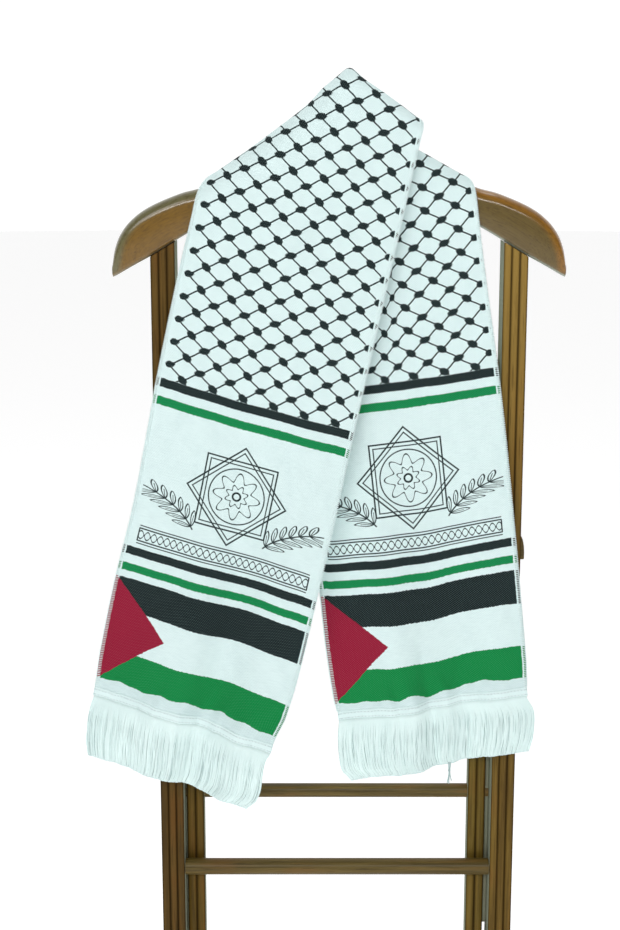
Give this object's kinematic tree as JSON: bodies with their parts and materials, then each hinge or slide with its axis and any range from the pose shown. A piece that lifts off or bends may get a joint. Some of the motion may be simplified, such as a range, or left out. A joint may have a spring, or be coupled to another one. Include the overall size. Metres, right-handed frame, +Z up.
{
  "type": "scarf on a wooden valet stand",
  "caption": "Long woven scarf with banded, striped and fringed ends, crossed once over the yoke of a reeded wooden valet stand.",
  "frame": {"origin": "on the floor, under the middle of the object's box", "axes": "+Z up; -Y towards the front, the side that the crossed scarf faces; +X to the right seen from the front"},
  "size_m": [0.4898, 0.3, 1.1213],
  "materials": {
    "wood": "satin varnish, open grain",
    "yoke_wood": "satin varnish, darker grain",
    "scarf_cloth": "jacquard twill, matte",
    "hem_tape": "folded and stitched weave, matte",
    "fringe_yarn": "looped warp yarn, matte"
  },
  "bodies": {
    "root": {"foot_right": "wood", "foot_left": "wood", "outer_leg_right": "wood", "outer_leg_left": "wood", "inner_leg_right": "wood", "inner_leg_left": "wood", "leg_spacer_right": "wood", "leg_spacer_left": "wood", "side_knob_right": "wood", "side_knob_left": "wood", "upper_dowel": "wood", "lower_dowel": "wood", "rail": "wood", "yoke": "yoke_wood", "neck_post": "yoke_wood", "scarf_front_left": "scarf_cloth", "scarf_front_right": "scarf_cloth", "scarf_back": "scarf_cloth", "end_tape_left": "hem_tape", "end_tape_right": "hem_tape", "fringe_left": "fringe_yarn", "fringe_right": "fringe_yarn"}
  },
  "joints": []
}
